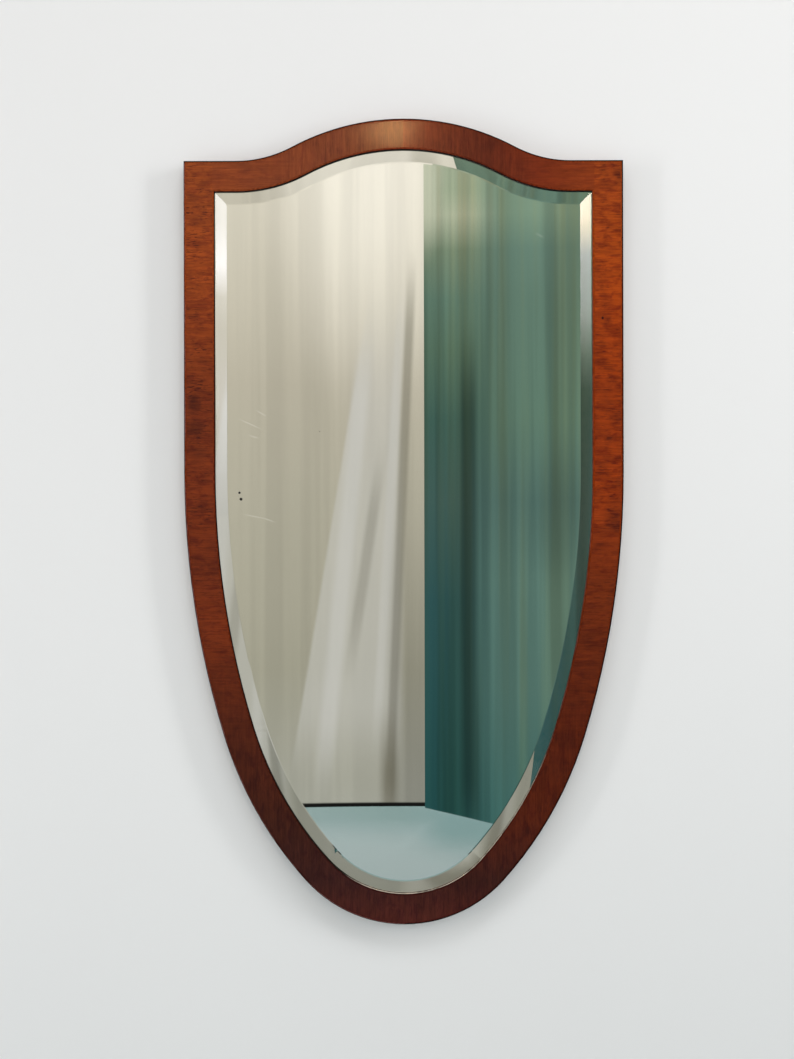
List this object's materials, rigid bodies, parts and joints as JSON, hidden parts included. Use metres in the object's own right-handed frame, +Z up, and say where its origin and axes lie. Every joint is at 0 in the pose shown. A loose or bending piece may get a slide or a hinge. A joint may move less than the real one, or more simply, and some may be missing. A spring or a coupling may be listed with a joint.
{
  "type": "shield mirror",
  "caption": "Tall shield-shaped wall mirror: bevelled plate in a flat veneered wood frame with a low arched crest and a rounded point, boarded back and swinging hanger rings.",
  "frame": {"origin": "middle of the back boards' wall face, on the axis of symmetry and half way up the overall height", "axes": "+Y square out of the back into the wall, +Z up, +X to the viewer's right; the glass faces -Y"},
  "size_m": [0.66, 0.032, 1.21],
  "materials": {
    "crest_veneer": "french polished mahogany veneer, cross grain",
    "stile_veneer": "french polished figured mahogany veneer",
    "lower_veneer": "french polished dark mahogany veneer",
    "edge_lipping": "french polished solid mahogany, rounded arris",
    "sight_lipping": "french polished solid mahogany",
    "ground_wood": "planed softwood, aged",
    "peg_wood": "beech, end grain showing",
    "plate_glass": "polished, ground bevel",
    "silvering": "silvered, painted behind",
    "shim_wood": "sawn softwood",
    "block_wood": "sawn softwood",
    "back_board": "planed pine, aged and unfinished",
    "board_screw": "slotted countersunk, dulled",
    "strap_brass": "rolled brass strip, dulled",
    "ring_brass": "drawn brass wire",
    "hanger_screw": "slotted countersunk, dulled"
  },
  "bodies": {
    "mirror": {"crest_veneer_left": "crest_veneer", "crest_veneer_right": "crest_veneer", "stile_veneer_left": "stile_veneer", "stile_veneer_right": "stile_veneer", "lower_veneer_left": "lower_veneer", "lower_veneer_right": "lower_veneer", "edge_lipping_top": "edge_lipping", "edge_lipping_left": "edge_lipping", "edge_lipping_right": "edge_lipping", "sight_lipping_top": "sight_lipping", "sight_lipping_left": "sight_lipping", "sight_lipping_right": "sight_lipping", "top_rail": "ground_wood", "toe_piece": "ground_wood", "stile_left": "ground_wood", "stile_right": "ground_wood", "haunch_left": "ground_wood", "haunch_right": "ground_wood", "lap_pegs": "peg_wood", "mirror_glass": "plate_glass", "silvering": "silvering", "plate_shims": "shim_wood", "plate_blocks": "block_wood", "back_board_left": "back_board", "back_board_centre": "back_board", "back_board_right": "back_board", "back_board_screws": "board_screw", "hanger_strap_left": "strap_brass", "hanger_strap_right": "strap_brass", "hanger_screws": "hanger_screw"},
    "left_ring": {"hanger_ring_left": "ring_brass"},
    "right_ring": {"hanger_ring_right": "ring_brass"}
  },
  "joints": [
    {"name": "left_ring_swing", "type": "hinge", "parent": "mirror", "child": "left_ring", "pos_m": [-0.3175, -0.0043, 0.392], "axis": [1, 0, 0], "range_deg": [0, 174]},
    {"name": "right_ring_swing", "type": "hinge", "parent": "mirror", "child": "right_ring", "pos_m": [0.3175, -0.0043, 0.392], "axis": [1, 0, 0], "range_deg": [0, 174]}
  ]
}
